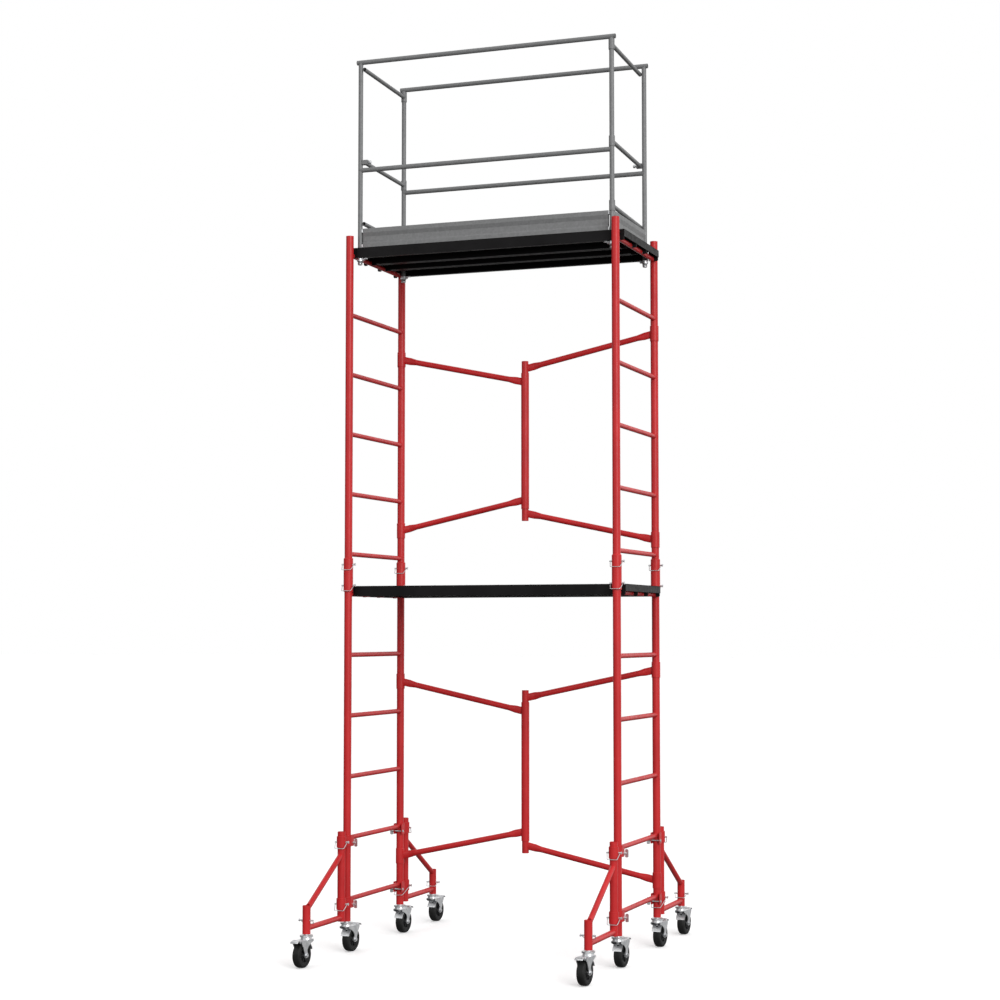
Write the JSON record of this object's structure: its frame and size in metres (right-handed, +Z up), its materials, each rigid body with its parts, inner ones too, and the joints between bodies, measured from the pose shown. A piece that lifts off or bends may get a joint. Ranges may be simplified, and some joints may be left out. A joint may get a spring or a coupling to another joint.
{
  "type": "rolling scaffold tower",
  "caption": "Two-tier rolling baker scaffold with ladder end frames, folding rear braces, hooked decks, guardrail with swing bars, outriggers and braked casters.",
  "frame": {"origin": "on the floor under the middle of the tower", "axes": "+X along the decks, +Y from the open front to the folding brace at the rear, +Z up"},
  "size_m": [1.5948, 1.9388, 4.7977],
  "materials": {
    "red_paint": "gloss powder coat",
    "black_paint": "satin powder coat",
    "grey_paint": "satin powder coat",
    "zinc": "bright zinc plate",
    "tyre_rubber": "matt black"
  },
  "bodies": {
    "frame": {"lower_left_ladder": "red_paint", "lower_left_brace": "red_paint", "lower_right_ladder": "red_paint", "lower_right_brace": "red_paint", "upper_left_ladder": "red_paint", "upper_left_brace": "red_paint", "upper_right_ladder": "red_paint", "upper_right_brace": "red_paint", "coupling_sleeves": "red_paint", "coupling_lock_pins": "zinc", "front_left_outrigger": "red_paint", "front_right_outrigger": "red_paint", "rear_left_outrigger": "red_paint", "rear_right_outrigger": "red_paint", "outrigger_clamps": "red_paint", "outrigger_fasteners": "zinc", "caster_stems": "zinc"},
    "lower_deck": {"lower_deck_panel": "black_paint", "lower_deck_frame": "black_paint", "lower_deck_hooks": "black_paint"},
    "upper_deck": {"upper_deck_panel": "black_paint", "upper_deck_frame": "black_paint", "upper_deck_hooks": "black_paint", "front_guardrail": "grey_paint", "rear_guardrail": "grey_paint", "toe_boards": "grey_paint", "guardrail_fittings": "zinc"},
    "right_top_bar": {"right_top_bar": "grey_paint"},
    "right_middle_bar": {"right_middle_bar": "grey_paint"},
    "right_lower_bar": {"right_lower_bar": "grey_paint"},
    "right_latch": {"right_latch": "zinc"},
    "left_top_bar": {"left_top_bar": "grey_paint"},
    "left_middle_bar": {"left_middle_bar": "grey_paint"},
    "left_lower_bar": {"left_lower_bar": "grey_paint"},
    "left_latch": {"left_latch": "zinc"},
    "front_left_outer_fork": {"front_left_outer_fork": "zinc"},
    "front_left_outer_wheel": {"front_left_outer_wheel": "tyre_rubber"},
    "front_left_outer_pedal": {"front_left_outer_pedal": "zinc"},
    "front_left_fork": {"front_left_fork": "zinc"},
    "front_left_wheel": {"front_left_wheel": "tyre_rubber"},
    "front_left_pedal": {"front_left_pedal": "zinc"},
    "rear_left_fork": {"rear_left_fork": "zinc"},
    "rear_left_wheel": {"rear_left_wheel": "tyre_rubber"},
    "rear_left_pedal": {"rear_left_pedal": "zinc"},
    "rear_left_outer_fork": {"rear_left_outer_fork": "zinc"},
    "rear_left_outer_wheel": {"rear_left_outer_wheel": "tyre_rubber"},
    "rear_left_outer_pedal": {"rear_left_outer_pedal": "zinc"},
    "front_right_outer_fork": {"front_right_outer_fork": "zinc"},
    "front_right_outer_wheel": {"front_right_outer_wheel": "tyre_rubber"},
    "front_right_outer_pedal": {"front_right_outer_pedal": "zinc"},
    "front_right_fork": {"front_right_fork": "zinc"},
    "front_right_wheel": {"front_right_wheel": "tyre_rubber"},
    "front_right_pedal": {"front_right_pedal": "zinc"},
    "rear_right_fork": {"rear_right_fork": "zinc"},
    "rear_right_wheel": {"rear_right_wheel": "tyre_rubber"},
    "rear_right_pedal": {"rear_right_pedal": "zinc"},
    "rear_right_outer_fork": {"rear_right_outer_fork": "zinc"},
    "rear_right_outer_wheel": {"rear_right_outer_wheel": "tyre_rubber"},
    "rear_right_outer_pedal": {"rear_right_outer_pedal": "zinc"}
  },
  "joints": [
    {"name": "lower_deck_lift", "type": "slide", "parent": "frame", "child": "lower_deck", "axis": [0, 0, 1], "range_m": [0, 0.12]},
    {"name": "upper_deck_lift", "type": "slide", "parent": "frame", "child": "upper_deck", "axis": [0, 0, 1], "range_m": [0, 0.3]},
    {"name": "right_top_bar_swing", "type": "hinge", "parent": "upper_deck", "child": "right_top_bar", "pos_m": [0.714, -0.3, 4.743], "axis": [0, 0, 1], "range_deg": [0, 88]},
    {"name": "right_middle_bar_swing", "type": "hinge", "parent": "upper_deck", "child": "right_middle_bar", "pos_m": [0.714, -0.3, 4.232], "axis": [0, 0, 1], "range_deg": [0, 88]},
    {"name": "right_lower_bar_swing", "type": "hinge", "parent": "upper_deck", "child": "right_lower_bar", "pos_m": [0.714, -0.3, 3.8935], "axis": [0, 0, 1], "range_deg": [0, 88]},
    {"name": "right_latch_pull", "type": "slide", "parent": "right_middle_bar", "child": "right_latch", "axis": [-0.9992, -0.0412, 0], "range_m": [0, 0.009], "stiffness_N_per_m": 300},
    {"name": "left_top_bar_swing", "type": "hinge", "parent": "upper_deck", "child": "left_top_bar", "pos_m": [-0.714, 0.3, 4.743], "axis": [0, 0, 1], "range_deg": [0, 88]},
    {"name": "left_middle_bar_swing", "type": "hinge", "parent": "upper_deck", "child": "left_middle_bar", "pos_m": [-0.714, 0.3, 4.232], "axis": [0, 0, 1], "range_deg": [0, 88]},
    {"name": "left_lower_bar_swing", "type": "hinge", "parent": "upper_deck", "child": "left_lower_bar", "pos_m": [-0.714, 0.3, 3.8935], "axis": [0, 0, 1], "range_deg": [0, 88]},
    {"name": "left_latch_pull", "type": "slide", "parent": "left_middle_bar", "child": "left_latch", "axis": [0.9992, 0.0412, 0], "range_m": [0, 0.009], "stiffness_N_per_m": 300},
    {"name": "front_left_outer_swivel", "type": "hinge", "parent": "frame", "child": "front_left_outer_fork", "pos_m": [-0.749, -0.844, 0.14], "axis": [0, 0, 1], "continuous": true},
    {"name": "front_left_outer_roll", "type": "hinge", "parent": "front_left_outer_fork", "child": "front_left_outer_wheel", "pos_m": [-0.75292, -0.88883, 0.0635], "axis": [0.9962, -0.0872, 0], "continuous": true},
    {"name": "front_left_outer_brake", "type": "hinge", "parent": "front_left_outer_fork", "child": "front_left_outer_pedal", "pos_m": [-0.75597, -0.9237, 0.133], "axis": [0.9962, -0.0872, 0], "range_deg": [0, 14]},
    {"name": "front_left_swivel", "type": "hinge", "parent": "frame", "child": "front_left_fork", "pos_m": [-0.749, -0.357, 0.14], "axis": [0, 0, 1], "continuous": true},
    {"name": "front_left_roll", "type": "hinge", "parent": "front_left_fork", "child": "front_left_wheel", "pos_m": [-0.74508, -0.31217, 0.0635], "axis": [-0.9962, 0.0872, 0], "continuous": true},
    {"name": "front_left_brake", "type": "hinge", "parent": "front_left_fork", "child": "front_left_pedal", "pos_m": [-0.74203, -0.2773, 0.133], "axis": [-0.9962, 0.0872, 0], "range_deg": [0, 14]},
    {"name": "rear_left_swivel", "type": "hinge", "parent": "frame", "child": "rear_left_fork", "pos_m": [-0.749, 0.357, 0.14], "axis": [0, 0, 1], "continuous": true},
    {"name": "rear_left_roll", "type": "hinge", "parent": "rear_left_fork", "child": "rear_left_wheel", "pos_m": [-0.74508, 0.40183, 0.0635], "axis": [-0.9962, 0.0872, 0], "continuous": true},
    {"name": "rear_left_brake", "type": "hinge", "parent": "rear_left_fork", "child": "rear_left_pedal", "pos_m": [-0.74203, 0.4367, 0.133], "axis": [-0.9962, 0.0872, 0], "range_deg": [0, 14]},
    {"name": "rear_left_outer_swivel", "type": "hinge", "parent": "frame", "child": "rear_left_outer_fork", "pos_m": [-0.749, 0.844, 0.14], "axis": [0, 0, 1], "continuous": true},
    {"name": "rear_left_outer_roll", "type": "hinge", "parent": "rear_left_outer_fork", "child": "rear_left_outer_wheel", "pos_m": [-0.74508, 0.88883, 0.0635], "axis": [-0.9962, 0.0872, 0], "continuous": true},
    {"name": "rear_left_outer_brake", "type": "hinge", "parent": "rear_left_outer_fork", "child": "rear_left_outer_pedal", "pos_m": [-0.74203, 0.9237, 0.133], "axis": [-0.9962, 0.0872, 0], "range_deg": [0, 14]},
    {"name": "front_right_outer_swivel", "type": "hinge", "parent": "frame", "child": "front_right_outer_fork", "pos_m": [0.749, -0.844, 0.14], "axis": [0, 0, 1], "continuous": true},
    {"name": "front_right_outer_roll", "type": "hinge", "parent": "front_right_outer_fork", "child": "front_right_outer_wheel", "pos_m": [0.74508, -0.88883, 0.0635], "axis": [0.9962, -0.0872, 0], "continuous": true},
    {"name": "front_right_outer_brake", "type": "hinge", "parent": "front_right_outer_fork", "child": "front_right_outer_pedal", "pos_m": [0.74203, -0.9237, 0.133], "axis": [0.9962, -0.0872, 0], "range_deg": [0, 14]},
    {"name": "front_right_swivel", "type": "hinge", "parent": "frame", "child": "front_right_fork", "pos_m": [0.749, -0.357, 0.14], "axis": [0, 0, 1], "continuous": true},
    {"name": "front_right_roll", "type": "hinge", "parent": "front_right_fork", "child": "front_right_wheel", "pos_m": [0.75292, -0.31217, 0.0635], "axis": [-0.9962, 0.0872, 0], "continuous": true},
    {"name": "front_right_brake", "type": "hinge", "parent": "front_right_fork", "child": "front_right_pedal", "pos_m": [0.75597, -0.2773, 0.133], "axis": [-0.9962, 0.0872, 0], "range_deg": [0, 14]},
    {"name": "rear_right_swivel", "type": "hinge", "parent": "frame", "child": "rear_right_fork", "pos_m": [0.749, 0.357, 0.14], "axis": [0, 0, 1], "continuous": true},
    {"name": "rear_right_roll", "type": "hinge", "parent": "rear_right_fork", "child": "rear_right_wheel", "pos_m": [0.75292, 0.40183, 0.0635], "axis": [-0.9962, 0.0872, 0], "continuous": true},
    {"name": "rear_right_brake", "type": "hinge", "parent": "rear_right_fork", "child": "rear_right_pedal", "pos_m": [0.75597, 0.4367, 0.133], "axis": [-0.9962, 0.0872, 0], "range_deg": [0, 14]},
    {"name": "rear_right_outer_swivel", "type": "hinge", "parent": "frame", "child": "rear_right_outer_fork", "pos_m": [0.749, 0.844, 0.14], "axis": [0, 0, 1], "continuous": true},
    {"name": "rear_right_outer_roll", "type": "hinge", "parent": "rear_right_outer_fork", "child": "rear_right_outer_wheel", "pos_m": [0.75292, 0.88883, 0.0635], "axis": [-0.9962, 0.0872, 0], "continuous": true},
    {"name": "rear_right_outer_brake", "type": "hinge", "parent": "rear_right_outer_fork", "child": "rear_right_outer_pedal", "pos_m": [0.75597, 0.9237, 0.133], "axis": [-0.9962, 0.0872, 0], "range_deg": [0, 14]}
  ]
}
